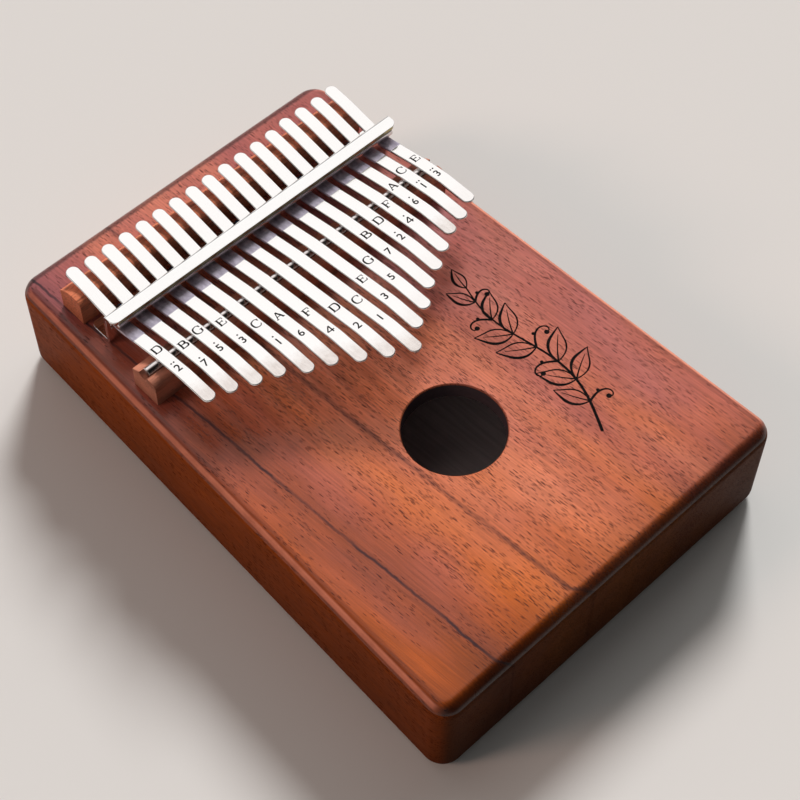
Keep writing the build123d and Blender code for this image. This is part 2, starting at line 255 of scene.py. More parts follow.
class TineSettings(bpy.types.PropertyGroup):
    """Sizes of the tines. Slopes are rise over run along the tine."""

    thickness: length("Thickness", "Thickness of the strip", 1.0)
    seat_gap: length("Seat gap", "Air between a tine and what it bears on", 0.03)
    edge: length("Edge", "Radius of the strip's tumbled edges", 0.36)
    tip_reach: length("Tip reach", "Length of the level part at the tip", 12.0)
    tip_bend: length("Tip bend", "Radius of the bend behind the tip", 22.0)
    middle_bend: length("Middle bend", "Radius of the bends between the rods", 14.0)
    tail_bend: length("Tail bend", "Radius of the bend over the rear bridge", 40.0)
    front_bend: length("Front bend", "Distance behind the front rod of the bend down", 1.2)
    tail_start: length("Tail start", "Distance from the pressure rod to the last bend", 17.1)
    playing_slope: number("Playing slope", "Slope up towards the tip", 0.14)
    rear_slope: number("Rear slope", "Slope up behind the pressure rod", 0.19)
    tail_slope: number("Tail slope", "Slope up at the rear end", 0.085)


class MarkSettings(bpy.types.PropertyGroup):
    """Sizes of the note marks and of the printed sprig."""

    letter_size: length("Letter size", "Height of the letters", 2.75)
    number_size: length("Number size", "Type size of the numbers", 3.6)
    number_drop: length("Number drop", "Distance from a letter to its number", 9.5)
    stroke: length("Stroke", "How much the type's strokes are widened on each side", 0.045)
    dot_radius: length("Dot radius", "Radius of an octave dot", 0.27)
    dot_spacing: length("Dot spacing", "Distance between two octave dots", 0.9)
    dot_rise: length("Dot rise", "Distance from a number's middle to its dots", 2.4)
    depth: length("Depth", "Half the thickness of a mark's ink", 0.02)
    ink: colour("Ink", "Colour of the marks and the sprig", (0.005, 0.004, 0.004))
    line: length("Line", "Half the width of the sprig's heaviest line", 0.52)
    leaf: length("Leaf", "Length of the sprig's longest leaf", 11.5)
    leaf_pairs: IntProperty(name="Leaf pairs", description="Pairs of leaves on the sprig", default=7)


class StageSettings(bpy.types.PropertyGroup):
    """The floor, the lights and the camera."""

    floor: colour("Floor", "Colour of the floor", (0.74, 0.725, 0.70))
    bounce: colour("Bounce", "Colour that the floor throws back on the object", (0.080, 0.058, 0.042))
    ambient: number("Ambient", "Level of the even light", 0.032)
    wall_level: number("Wall level", "Brightness of the rear wall", 1.0)
    wall_share: share("Wall share", "How much of the rear wall's brightness lights the object", 0.40)
    wall_lean: number("Wall lean", "How far the wall falls short of overhead", 0.10)
    left_level: number("Left level", "Brightness of the left side", 0.30)
    horizon_level: number("Horizon level", "Brightness of the horizon", 0.55)
    key_level: number("Key level", "Strength of the key light", 1.02)
    side_level: number("Side level", "Strength of the low side light", 0.12)
    rim_level: number("Rim level", "Strength of the rim light", 0.24)
    key_angle: angle("Key angle", "Apparent size of the key light", 16)
    azimuth: angle("Azimuth", "Way the camera looks", -44.09)
    elevation: angle("Elevation", "Height of the camera", 56.44)
    roll: angle("Roll", "Turn of the camera", 0.56)
    distance: length("Distance", "Distance of the camera from what it looks at", 561.3)
    lens: number("Lens", "Focal length in millimetres", 86.88)


SETTINGS = {
    "piano_soundbox": SoundboxSettings,
    "piano_bridges": BridgeSettings,
    "piano_bracket": BracketSettings,
    "piano_tines": TineSettings,
    "piano_marks": MarkSettings,
    "piano_stage": StageSettings,
}


def sizes(name):
    """One settings group's values, with its lengths in millimetres."""
    group = getattr(bpy.context.scene, name)
    values = {}
    for prop in group.bl_rna.properties:
        if prop.identifier in {"rna_type", "name"}:
            continue
        value = getattr(group, prop.identifier)
        values[prop.identifier] = value / MM if getattr(prop, "unit", "") == "LENGTH" else value
    return SimpleNamespace(**values)


# ---------------------------------------------------------------- shader helpers


class Value:
    """A shader node's output. Arithmetic on it adds Math nodes to the same tree."""

    def __init__(self, socket):
        self.socket = socket
        self.tree = socket.id_data

    def maths(self, operation, other=0.0, clamp=False):
        """The output of a Math node on this value and another."""
        return output(self.tree, "ShaderNodeMath", {0: self, 1: other}, operation=operation, use_clamp=clamp)

    def __add__(self, other):
        return self.maths("ADD", other)

    def __sub__(self, other):
        return self.maths("SUBTRACT", other)

    def __rsub__(self, first):
        return output(self.tree, "ShaderNodeMath", {0: first, 1: self}, operation="SUBTRACT")

    def __mul__(self, other):
        return self.maths("MULTIPLY", other)

    def __truediv__(self, other):
        return self.maths("DIVIDE", other)

    def __abs__(self):
        return self.maths("ABSOLUTE")


def fill(node, links):
    """Link or set a node's input sockets."""
    for name, given in links.items():
        socket = node.inputs[name]
        if isinstance(given, Value):
            node.id_data.links.new(given.socket, socket)
        else:
            socket.default_value = (*given, 1) if socket.type == "RGBA" else given


def add(tree, kind, links=None, **settings):
    """One shader node, with its own settings and its sockets linked or set."""
    node = tree.nodes.new(kind)
    for name, setting in settings.items():
        setattr(node, name, setting)
    fill(node, links or {})
    return node


def output(tree, kind, links=None, which=0, **settings):
    """One output of a new shader node."""
    return Value(add(tree, kind, links, **settings).outputs[which])


def parts(vector):
    """The X, Y and Z of a vector."""
    return [Value(socket) for socket in add(vector.tree, "ShaderNodeSeparateXYZ", {0: vector}).outputs]


def placed(tree, scale=(1, 1, 1), turn=(0, 0, 0), shift=(0, 0, 0)):
    """Object coordinates, turned, moved and scaled along each axis."""
    place = output(tree, "ShaderNodeTexCoord", which="Object")
    links = {"Vector": place, "Scale": scale, "Rotation": turn, "Location": shift}
    return output(tree, "ShaderNodeMapping", links)


def noise(vector, scale, detail=3.0, rough=0.5, distortion=0.0):
    """The value of a noise texture."""
    links = {"Vector": vector, "Scale": scale, "Detail": detail, "Roughness": rough, "Distortion": distortion}
    return output(vector.tree, "ShaderNodeTexNoise", links)


def soft_step(value, nought_at, one_at):
    """A smooth step between two values."""
    links = {"Value": value, 1: nought_at, 2: one_at, 3: 0.0, 4: 1.0}
    return output(value.tree, "ShaderNodeMapRange", links, interpolation_type="SMOOTHSTEP")


def ramp(factor, *stops):
    """A colour ramp through the given stops, each a place and a grey or a colour."""
    node = add(factor.tree, "ShaderNodeValToRGB", {"Fac": factor})
    points = node.color_ramp.elements
    while len(points) < len(stops):
        points.new(1.0)
    for point, (place, shade) in zip(points, stops):
        point.position = place
        point.color = (*shade, 1) if hasattr(shade, "__len__") else (shade, shade, shade, 1)
    return Value(node.outputs[0])


def mix(factor, first, second, kind="MIX"):
    """The result of a colour Mix node."""
    links = {0: factor, 6: first, 7: second}
    tree = next(given.tree for given in links.values() if isinstance(given, Value))
    return output(tree, "ShaderNodeMix", links, which=2, data_type="RGBA", blend_type=kind)


def tinted(shade, tint, factor=1.0):
    """A shade multiplied by a tint, as far as the factor says."""
    return mix(factor, shade, tint, "MULTIPLY")


def dimmed(tint, level):
    """A colour at a share of its brightness."""
    return tuple(level * part for part in tint)


def new_material(name):
    """A material, its node tree and its Principled shader."""
    material = bpy.data.materials.new(name)
    material.use_nodes = True
    tree = material.node_tree
    return material, tree, tree.nodes["Principled BSDF"]


def bump(shader, height, strength, distance):
    """Give a shader a bump from a height."""
    links = {"Strength": strength, "Distance": distance, "Height": height}
    fill(shader, {"Normal": output(height.tree, "ShaderNodeBump", links)})


# ---------------------------------------------------------------- materials


# how pale the wood is from the left side to the right, as (share of the way, paleness)
BANDS = (
    (0.03, 0.36), (0.07, 0.42), (0.11, 0.26), (0.15, 0.16), (0.19, 0.32), (0.25, 0.58), (0.30, 0.90),
    (0.41, 0.78), (0.48, 0.98), (0.56, 0.74), (0.62, 0.88), (0.67, 0.52), (0.74, 0.66), (0.83, 0.54),
    (0.95, 0.48),
)
# how crowded the open pores are from the left side to the right, as (share of the way, share open)
CROWDING = ((0.08, 0.10), (0.21, 0.16), (0.28, 0.46), (0.44, 0.44), (0.66, 0.52), (0.76, 0.40), (0.95, 0.26))
# the two long dark lines in the grain, each as its place across and half its width, in metres
MAIN_LINE = (-0.0484, 0.00062)
SECOND_LINE = (-0.0201, 0.0011)


def grained(tree, box, scale=(1, 1, 1), shift=(0, 0, 0)):
    """Object coordinates turned to the soundbox's grain, then moved and scaled along each axis."""
    turned = placed(tree, turn=(0, 0, -box.grain_turn))
    return output(tree, "ShaderNodeMapping", {"Vector": turned, "Scale": scale, "Location": shift})


def mahogany(box, name, flank):
    """Stained mahogany: bands along the grain, dark grain lines, fibres and open pores.

    The top is satin. A flank is duller, and painted shade darkens it towards the base and the front, and on
    the front face."""
    material, tree, shader = new_material(name)
    beside, ahead, up = parts(placed(tree))
    across, along, _ = parts(grained(tree, box))
    half_width = box.front_width * MM / 2 + 0.005
    wander = noise(grained(tree, box, (0.6, 0.14, 0.6)), 70)
    share_across = (across + (wander - 0.5) * 0.012 + half_width) / (2 * half_width)
    cloud = noise(grained(tree, box, (1, 0.4, 1)), 55, 4, 0.6, 0.4)
    level = ramp(share_across, *BANDS) + (cloud - 0.5) * 0.75
    wood = ramp(level, (0.0, box.dark), (0.5, box.middle), (1.0, box.light))
    wood = tinted(wood, box.amber, amber_against_sheen(across, along, up))
    fibres = noise(grained(tree, box, (1, 0.03, 1)), 2000, 5, 0.6)
    wood = tinted(wood, ramp(fibres, (0.32, 0.55), (0.68, 1.26)), 0.7)

    second = grain_line(box, across, along, *SECOND_LINE)
    crowd = noise(grained(tree, box, (1, 0.35, 1), (0.3, 0, 0)), 120)
    share_open = (crowd - 0.46) * 1.8 + ramp(share_across, *CROWDING) + second * 0.9
    fine = open_pores(box, 3200, 0.36, share_open)
    coarse = open_pores(box, 1900, 0.27, share_open * 0.5)
    pores = (fine * 0.80).maths("MAXIMUM", coarse)
    wood = mix(pores * 0.88, wood, box.pore)

    lines = (grain_line(box, across, along, *MAIN_LINE) * 0.95).maths("MAXIMUM", second * 0.60)
    if flank:
        lines = lines * 0.25
    wood = mix(lines, wood, box.streak)
    if flank:
        # painted shade on the sides: darker towards the base, towards the front, and on the front face
        wood = tinted(wood, ramp(up / 0.035, (0.0, 0.50), (0.95, 0.95)))
        wood = tinted(wood, ramp(ahead * 5 + 0.5, (0.05, 0.62), (0.9, 1.0)))
        wood = tinted(wood, (0.55, 0.66, 0.95), soft_step(ahead, -0.0895, -0.0922))
    else:
        wood = top_wear_and_painted_light(box, wood, beside, ahead, up)

    sheen = noise(grained(tree, box, (1, 0.2, 1)), 260)
    dullest = 0.55 if flank else box.roughness
    gloss = sheen * 0.14 + (dullest - 0.07) + pores.maths("MAXIMUM", lines * 0.7) * 0.45
    fill(shader, {"Base Color": wood, "Roughness": gloss, "Specular IOR Level": 0.06 if flank else 0.42})
    bump(shader, fibres * 0.3 - pores * 0.5, 0.25, 0.00005)
    return material


def amber_against_sheen(across, along, up):
    """How amber the wood is: fully on the sides, less on the top towards the rear and the right, where the
    rosier colour is partly the wood's own tone and partly a painted sheen.
    """
    cloud = noise(placed(across.tree, (1, 0.4, 1), shift=(0.07, 0.02, 0)), 60)
    rear = along + 0.060
    # the rose is partly the wood's tone and partly a painted sheen
    rose_tone_and_sheen = across * 6.0 + rear * 1.5 + rear.maths("MINIMUM", 0.0) * 9.0 + cloud * 1.1
    rose_tone_and_sheen = rose_tone_and_sheen - soft_step(across, -0.056, -0.066) * 0.3 + soft_step(along, 0.060, 0.080) * 0.35
    rose_tone_and_sheen = rose_tone_and_sheen.maths("ADD", 0.02, clamp=True)
    return 1.0 - rose_tone_and_sheen * soft_step(up, 0.0325, 0.0345)


def grain_line(box, across, along, place, half_width):
    """A mask for one long dark line in the grain, which wanders about its place and curls at the front."""
    tree = across.tree
    slow = noise(grained(tree, box, (0.1, 1, 0.1), (place * 40, 0, 0)), 38, 2)
    quick = noise(grained(tree, box, (0.1, 1, 0.1), (place * 90, 0, 0)), 330)
    curl = (-0.0865 - along).maths("MAXIMUM", 0.0)
    wander = (slow - 0.5) * 0.0022 + (quick - 0.5) * 0.0009 + curl * 0.9
    away = abs(across - place - wander)
    line = ramp(away / half_width, (0.0, 1.0), (0.40, 0.85), (1.0, 0.0))
    broken = noise(grained(tree, box, (1, 0.12, 1)), 700, 2)
    return line * ramp(broken, (0.30, 0.50), (0.60, 1.0))


def open_pores(box, scale, reach, share_open):
    """A mask of short open pores along the grain, in the given share of the grain's cells."""
    place = grained(share_open.tree, box, (1, 0.13, 1))
    cells = add(share_open.tree, "ShaderNodeTexVoronoi", {"Vector": place, "Scale": scale}, feature="F1")
    lot = parts(Value(cells.outputs["Color"]))[0]
    dash = soft_step(Value(cells.outputs["Distance"]), reach * 1.25, reach * 0.75)
    return dash * lot.maths("LESS_THAN", share_open)


def top_wear_and_painted_light(box, wood, beside, ahead, up):
    """The top's wear and painted light: painted shade and a band of worn stain and painted highlight on the
    side edges, painted shade at the front, painted sheen and shade at the rear, a painted grey sheen under
    the tines, and edges darkened by stain and painted shade.
    """
    low, high = box_mm("body_block")
    front, rear, top = low.y * MM, high.y * MM, high.z * MM
    row_left, row_right = box_mm(TINES[0])[0].x * MM, box_mm(TINES[-1])[1].x * MM
    sides = soft_step(ahead, front + 0.004, front + 0.006) * soft_step(ahead, rear - 0.004, rear - 0.006)
    # painted shade: a darker band where the side edges begin to round over
    wood = tinted(wood, (0.70, 0.64, 0.60), soft_step(up, top - 0.000005, top - 0.00004) * sides)
    # a pale band along the side edges: partly worn stain, partly a painted highlight
    rubbed = soft_step(up, top - 0.00036, top - 0.00075) * soft_step(up, top - 0.0018, top - 0.0013)
    patchy = noise(placed(wood.tree), 160)
    wood = mix(rubbed * ramp(patchy, (0.25, 0.60), (0.60, 1.0)) * sides, wood, box.worn)
    # painted shade, darker towards the front edge
    wood = tinted(wood, ramp(ahead * -10, (0.79, 1.0), (0.875, 0.76)))
    # a painted pinkish sheen and shade over the rear of the top
    wood = tinted(wood, (0.84, 0.80, 0.86), soft_step(ahead, 0.062, 0.078))
    # a painted grey sheen in the tines' shadow, which ends at their tips, which draw back on each side of the
    # longest
    wedge = ahead - abs(beside - 0.010) * 0.5
    painted_sheen_under_tines = soft_step(wedge, -0.003, 0.005) * soft_step(ahead, 0.064, 0.058)
    painted_sheen_under_tines = painted_sheen_under_tines * soft_step(beside, row_left + 0.001, row_left + 0.003)
    painted_sheen_under_tines = painted_sheen_under_tines * soft_step(beside, row_right + 0.001, row_right - 0.001)
    wood = tinted(wood, (1.05, 1.35, 1.6), painted_sheen_under_tines)
    # the front and rear round-overs darkened: partly a darker stain, partly painted shade
    rear_edge_stain_and_shade = soft_step(ahead, rear - 0.0042, rear - 0.003) * 0.8
    edge_stain_and_shade_mask = soft_step(ahead, front + 0.0049, front + 0.0022).maths("MAXIMUM", rear_edge_stain_and_shade)
    return tinted(wood, box.edge_stain_and_shade, edge_stain_and_shade_mask)


def bare_wood(box):
    """The bare wood inside the soundbox, pale and dull, and darker on the sound hole's wall."""
    material, tree, shader = new_material("inside_bare_wood")
    fibres = noise(grained(tree, box, (1, 0.05, 1)), 900)
    wood = ramp(fibres, (0.3, dimmed(box.inside, 0.8)), (0.7, box.inside))
    up = parts(placed(tree))[2]
    wood = tinted(wood, (0.07, 0.06, 0.07), soft_step(up, 0.0275, 0.0292))
    fill(shader, {"Base Color": wood, "Roughness": 0.75, "Specular IOR Level": 0.2})
    bump(shader, fibres, 0.3, 0.0001)
    return material


def bridge_wood(name, tint, stripe, foot_shade_above):
    """Pale, close-grained wood: grain and saw marks along the bridge, speckled ends made paler partly as
    painted light, and painted shade at the foot.
    """
    material, tree, shader = new_material(name)
    marks = noise(placed(tree, (0.10, 1, 1)), 1500, 4, 0.6)
    cloud = noise(placed(tree, (0.5, 1, 1)), 170)
    dark = dimmed(tint, 0.48)
    wood = ramp(marks * stripe + cloud * (1 - stripe), (0.34, dark), (0.50, tint), (0.64, dimmed(tint, 1.2)))
    specks = noise(placed(tree, (0.2, 1, 1)), 2600, 2)
    wood = mix(ramp(specks, (0.60, 0.0), (0.68, 0.75)), wood, dark)
    across, _, up = parts(placed(tree))
    # the ends made paler: partly the end grain's tone, partly painted light, as the ends face the light while
    # the tops lie in shade
    wood = tinted(wood, (1.25, 1.2, 1.1), soft_step(abs(across), 0.0570, 0.0582))
    # painted shade at the foot, where the bridge meets the top under the tines
    wood = mix(soft_step(up, foot_shade_above, 0.034) * 0.45, wood, dimmed(tint, 0.3))
    fill(shader, {"Base Color": wood, "Roughness": 0.55, "Specular IOR Level": 0.3})
    bump(shader, marks, 0.5, 0.0001)
    return material


def plated_steel(name, tint, low, high, dimmest=0.93):
    """Bright plated steel whose gloss wanders a little between two levels of roughness."""
    material, tree, shader = new_material(name)
    smears = noise(placed(tree), 420, 4, 0.6)
    fine = noise(placed(tree), 5200, 2)
    wander = {0: smears * 0.8 + fine * 0.2, 1: 0.3, 2: 0.7, 3: low, 4: high}
    gloss = output(tree, "ShaderNodeMapRange", wander)
    shade = ramp(smears, (0.3, dimmed(tint, dimmest)), (0.7, tint))
    fill(shader, {"Base Color": shade, "Roughness": gloss, "Metallic": 1.0})
    bump(shader, fine, 0.10, 0.00002)
    return material


def rod_steel(name, middle_y, radius, tint):
    """A rod's steel: bright along its upper rear, with painted shade along its front for the dark that it
    reflects there.
    """
    material, tree, shader = new_material(name)
    ahead = parts(placed(tree))[1]
    smears = noise(placed(tree, (0.3, 1, 1)), 900, 3, 0.6)
    # painted shade: the rod's front is coloured dark
    front = soft_step(ahead, (middle_y + 0.20 * radius) * MM, (middle_y - 0.35 * radius) * MM)
    shade = mix(front, ramp(smears, (0.3, dimmed(tint, 0.85)), (0.7, tint)), (0.22, 0.175, 0.16))
    fill(shader, {"Base Color": shade, "Roughness": smears * 0.12 + 0.18, "Metallic": 1.0})
    bump(shader, smears, 0.10, 0.00002)
    return material


# where the tines' brushed length and its painted reflection of the lip fade in and out by the bracket's lip,
# in metres along the object
BRUSHED_REFLECTION_IN = (0.0474, 0.0478)
BRUSHED_REFLECTION_OUT = (0.0580, 0.0565)


def tine_steel():
    """Polished spring steel, ground duller at the tip and brushed by the bracket, where its dark colour is a
    painted reflection of the lip's underside.
    """
    material, tree, shader = new_material("tine_spring_steel")
    from_tip = parts(output(tree, "ShaderNodeUVMap", uv_map="strip"))[1]
    wear = output(tree, "ShaderNodeAttribute", which="Fac", attribute_name="tip_wear")
    across, along, _ = parts(placed(tree))
    ragged = noise(placed(tree), 700)
    ground = ramp((from_tip + ragged * 0.003) * 50, (0.26, 1.0), (0.50, 0.0)) * wear

    # the brushed length and its painted reflection start a little farther back on the right, as the lip's
    # reflection does
    behind = along - across * 0.015
    brushed_and_lip_reflection = soft_step(behind, *BRUSHED_REFLECTION_IN) * soft_step(along, *BRUSHED_REFLECTION_OUT)
    # how deep the painted reflection of the lip is, darkest next to it
    depth = soft_step(behind, 0.0482, 0.0565)
    lines = noise(placed(tree, (1, 0.02, 1)), 2600)
    grit = noise(placed(tree), 2300, 4, 0.65)
    smears = noise(placed(tree, (1, 0.35, 1)), 700, 3, 0.6)
    polished = lines * 0.05 + 0.09
    rough = grit * 0.06 + (brushed_and_lip_reflection * 0.16 + 0.22)
    dulled = ground.maths("MAXIMUM", brushed_and_lip_reflection)
    gloss = polished + dulled * (rough - polished)
    dull = ramp(smears, (0.35, (0.74, 0.66, 0.62)), (0.62, (0.84, 0.77, 0.73)))
    # the colours of the painted reflection, pale away from the lip and deep next to it
    pale = ramp(smears, (0.36, (0.44, 0.40, 0.50)), (0.64, (0.66, 0.62, 0.74)))
    deep = ramp(smears, (0.36, (0.26, 0.20, 0.22)), (0.66, (0.66, 0.57, 0.62)))
    shade = mix(ground * 0.9, (0.985, 0.965, 0.955), dull)
    shade = mix(brushed_and_lip_reflection, shade, mix(depth, pale, deep))
    fill(shader, {"Base Color": shade, "Roughness": gloss, "Metallic": 1.0 - brushed_and_lip_reflection * 0.40})
    bump(shader, lines * 0.3 + grit * dulled, 0.03, 0.00002)
    return material


def black_ink(name, tint, scale):
    """Burnt or printed black, matt, with a slight unevenness."""
    material, tree, shader = new_material(name)
    shade = ramp(noise(placed(tree), scale), (0.3, dimmed(tint, 0.6)), (0.7, dimmed(tint, 2.2)))
    fill(shader, {"Base Color": shade, "Roughness": 0.7, "Specular IOR Level": 0.08})
    return material


def seen_mask(tree):
    """One for camera, glossy and transmission rays, and nought for the rays that light things."""
    path = add(tree, "ShaderNodeLightPath")
    seen = Value(path.outputs["Is Camera Ray"]).maths("MAXIMUM", Value(path.outputs["Is Glossy Ray"]))
    return seen.maths("MAXIMUM", Value(path.outputs["Is Transmission Ray"]))


# ---------------------------------------------------------------- mesh helpers


def finish_mesh(bm, name):
    """Turn a bmesh in millimetres into an object in metres, smooth but for its sharp edges."""
    bmesh.ops.scale(bm, vec=(MM, MM, MM), verts=bm.verts)
    mesh = bpy.data.meshes.new(name)
    bm.to_mesh(mesh)
    bm.free()
    mesh.shade_smooth()
    mesh.set_sharp_from_angle(angle=math.radians(48))
    piece = bpy.data.objects.new(name, mesh)
    bpy.context.scene.collection.objects.link(piece)
    return piece


def settle(piece, materials, replaced=(), body=ROOT, evened=True):
    """Give a piece its materials, even shading, the nodes it stands for and its body."""
    for material in materials:
        piece.data.materials.append(material)
    if evened:
        even = piece.modifiers.new("even shading", "WEIGHTED_NORMAL")
        even.keep_sharp = True
    if replaced:
        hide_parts(*replaced)
    if body:
        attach(piece, body)


def arc(centre, radius, start, end, steps):
    """Points of an arc in the YZ plane, with its angles in degrees from +Y towards +Z."""
    points = []
    for step in range(steps + 1):
        angle = math.radians(start + (end - start) * step / steps)
        points.append((centre[0] + radius * math.cos(angle), centre[1] + radius * math.sin(angle)))
    return points


def tangent_arc(start, slope, end, steps):
    """Points of the arc that leaves one point along a direction and passes through another."""
    chord = Vector((end[0] - start[0], end[1] - start[1]))
    way = Vector(slope).normalized()
    side = Vector((-way.y, way.x))
    lean = chord.dot(side)
    radius = chord.length_squared / (2 * lean)
    centre = Vector(start) + side * radius
    first = Vector(start) - centre
    sweep = 2 * math.atan2(lean, chord.dot(way))
    return [centre + Matrix.Rotation(sweep * step / steps, 2) @ first for step in range(steps + 1)]


def prism_along_x(points, low_x, high_x):
    """A bmesh of one closed outline in the YZ plane, run along X."""
    bm = bmesh.new()
    verts = [bm.verts.new((low_x, y, z)) for y, z in points]
    face = bm.faces.new(verts)
    made = bmesh.ops.extrude_face_region(bm, geom=[face], use_keep_orig=True)
    moved = [item for item in made["geom"] if isinstance(item, bmesh.types.BMVert)]
    bmesh.ops.translate(bm, vec=(high_x - low_x, 0, 0), verts=moved)
    bmesh.ops.recalc_face_normals(bm, faces=bm.faces)
    return bm


def bevel(bm, edges, offset, segments, slide=True):
    """Round the given edges."""
    bmesh.ops.bevel(
        bm, geom=edges, offset=offset, segments=segments, profile=0.5, affect="EDGES",
        clamp_overlap=False, material=-1, loop_slide=slide,
    )


def merge(bm):
    """Make one of the corners that lie in the same place."""
    bmesh.ops.remove_doubles(bm, verts=bm.verts, dist=MERGE)


def add_disc(bm, place, radius, top_radius, depth, segments):
    """Add a thin closed disc about a place, half of it under the surface."""
    bmesh.ops.create_cone(
        bm, cap_ends=True, segments=segments, radius1=radius, radius2=top_radius, depth=2 * depth,
        matrix=Matrix.Translation(place),
    )


def add_mesh(bm, mesh):
    """Add a mesh to a bmesh, and throw the mesh away."""
    bm.from_mesh(mesh)
    bpy.data.meshes.remove(mesh)


def sharp_edges(bm, least=40):
    """The edges at which the surface turns by more than an angle in degrees."""
    limit = math.radians(least)
    return [edge for edge in bm.edges if len(edge.link_faces) == 2 and edge.calc_face_angle() > limit]


def tapered_block(bm, box, inset, low_z, high_z, radius, steps):
    """Add a block of the soundbox's plan, moved in by an inset, with rounded upright corners."""
    low, high = box_mm("body_block")
    box_length = high.y - low.y
    half_taper = (box.front_width - box.rear_width) / 2
    side = inset * math.hypot(1, half_taper / box_length)
    front_half = box.front_width / 2 - half_taper * inset / box_length - side
    rear_half = box.rear_width / 2 + half_taper * inset / box_length - side
    verts = bmesh.ops.create_cube(bm, size=1)["verts"]
    for vert in verts:
        half = rear_half if vert.co.y > 0 else front_half
        vert.co.x *= 2 * half
        vert.co.y *= box_length - 2 * inset
        vert.co.z = low_z if vert.co.z < 0 else high_z
    inside = set(verts)
    uprights = [e for e in bm.edges if set(e.verts) <= inside and e.verts[0].co.z != e.verts[1].co.z]
    bevel(bm, uprights, radius, steps, slide=False)


def lies_at(item, z):
    """Whether an edge or a face lies wholly at one height."""
    return all(abs(vert.co.z - z) < NEAR for vert in item.verts)


def faces_at(bm, *heights):
    """The flat faces that lie wholly at one of the given heights."""
    return [face for z in heights for face in bm.faces if lies_at(face, z)]


def open_edges_at(bm, z):
    """The edges at one height that have only one face."""
    return [edge for edge in bm.edges if len(edge.link_faces) == 1 and lies_at(edge, z)]


def rod_of(node):
    """A packed rod's middle, as (y, z), and its radius."""
    low, high = box_mm(node)
    return ((low.y + high.y) / 2, (low.z + high.z) / 2), (high.y - low.y) / 2


# ---------------------------------------------------------------- pieces


def make_soundbox(box):
    """The hollow soundbox, with its rounded edges, sound hole and rebate for the panel."""
    low, high = box_mm("body_block")
    panel_top = box_mm("back_panel")[1].z
    height = high.z
    ceiling = height - box.top_thickness
    bm = bmesh.new()
    tapered_block(bm, box, 0, 0, height, box.corner_radius, 14)
    bevel(bm, [edge for edge in bm.edges if lies_at(edge, height) or lies_at(edge, 0)], box.edge_radius, 10)
    bmesh.ops.delete(bm, geom=faces_at(bm, height, 0), context="FACES_ONLY")

    hole = Vector((box.hole_x, low.y + box.hole_from_front, 0))
    radius = box.hole_diameter / 2
    rim = arc((radius + box.hole_rim, height - box.hole_rim), box.hole_rim, 90, 180, 5)
    profile = [bm.verts.new((hole.x + out, hole.y, z)) for out, z in rim + [(radius, ceiling)]]
    edges = [bm.edges.new(pair) for pair in zip(profile, profile[1:])]
    bmesh.ops.spin(
        bm, geom=profile + edges, cent=hole, axis=UP, dvec=(0, 0, 0), angle=math.tau, steps=96,
        use_merge=True, use_duplicate=False,
    )

    # the walls of the cavity, and of the rebate under it, which is wider by the ledge
    for foot, head, ledge in ((panel_top, ceiling, 0), (0, panel_top, box.ledge)):
        hollow = bmesh.new()
        tapered_block(hollow, box, box.wall - ledge, foot, head, box.cavity_radius + ledge, 10)
        bmesh.ops.delete(hollow, geom=faces_at(hollow, foot, head), context="FACES_ONLY")
        for face in hollow.faces:
            face.material_index = 1
        store = bpy.data.meshes.new("hollow")
        hollow.to_mesh(store)
        hollow.free()
        add_mesh(bm, store)
    for level in (height, ceiling, panel_top, 0):
        bmesh.ops.triangle_fill(bm, use_beauty=True, use_dissolve=False, edges=open_edges_at(bm, level))
    merge(bm)
    bmesh.ops.recalc_face_normals(bm, faces=bm.faces)
    bm.normal_update()
    for face in bm.faces:
        middle = face.calc_center_median()
        in_hole = math.hypot(middle.x - hole.x, middle.y - hole.y) < radius and middle.z < height - 1
        if in_hole or abs(middle.z - ceiling) < NEAR:
            face.material_index = 1
        # faces turned away from the top get the side wood, with its painted shade
        elif face.material_index == 0 and face.normal.z < 0.5:
            face.material_index = 2
    return finish_mesh(bm, "soundbox_shell")


def make_back_panel(box):
    """The flat panel that closes the soundbox, with softened edges."""
    low, high = box_mm("back_panel")
    outer_low = box_mm("body_block")[0]
    bm = bmesh.new()
    inset = low.y - outer_low.y
    tapered_block(bm, box, inset, low.z, high.z, box.cavity_radius + box.wall - inset, 12)
    bevel(bm, sharp_edges(bm), box.panel_bevel, 2)
    bmesh.ops.recalc_face_normals(bm, faces=bm.faces)
    for face in bm.faces:
        face.material_index = 2
    for face in faces_at(bm, high.z):
        face.material_index = 1
    return finish_mesh(bm, "soundbox_back")


def make_front_bridge(bridge):
    """The front bridge, with its rounded nose, sloping rear top and grooved crest."""
    low, high = box_mm("front_bridge")
    rod, rod_radius = rod_of("bridge_rod")
    groove_radius = rod_radius + GROOVE_PLAY
    side = math.degrees(math.asin(bridge.over_axis / groove_radius))
    nose = arc((low.y + bridge.nose_radius, high.z - bridge.nose_radius), bridge.nose_radius, 90, 180, 8)
    groove = arc(rod, groove_radius, side, -180 - side, 18)
    outline = [(low.y, low.z), (high.y, low.z), (high.y, high.z - bridge.rear_drop), *groove, *nose]
    return bridge_between(bridge, low, high, outline, "front_bridge_wood")


def bridge_between(bridge, low, high, outline, name):
    """A bridge of one outline in the YZ plane, with softened ends."""
    bm = prism_along_x(outline, low.x, high.x)
    ends = [edge for edge in sharp_edges(bm) if edge.verts[0].co.x == edge.verts[1].co.x]
    bevel(bm, ends, bridge.edge, 2)
    return finish_mesh(bm, name)


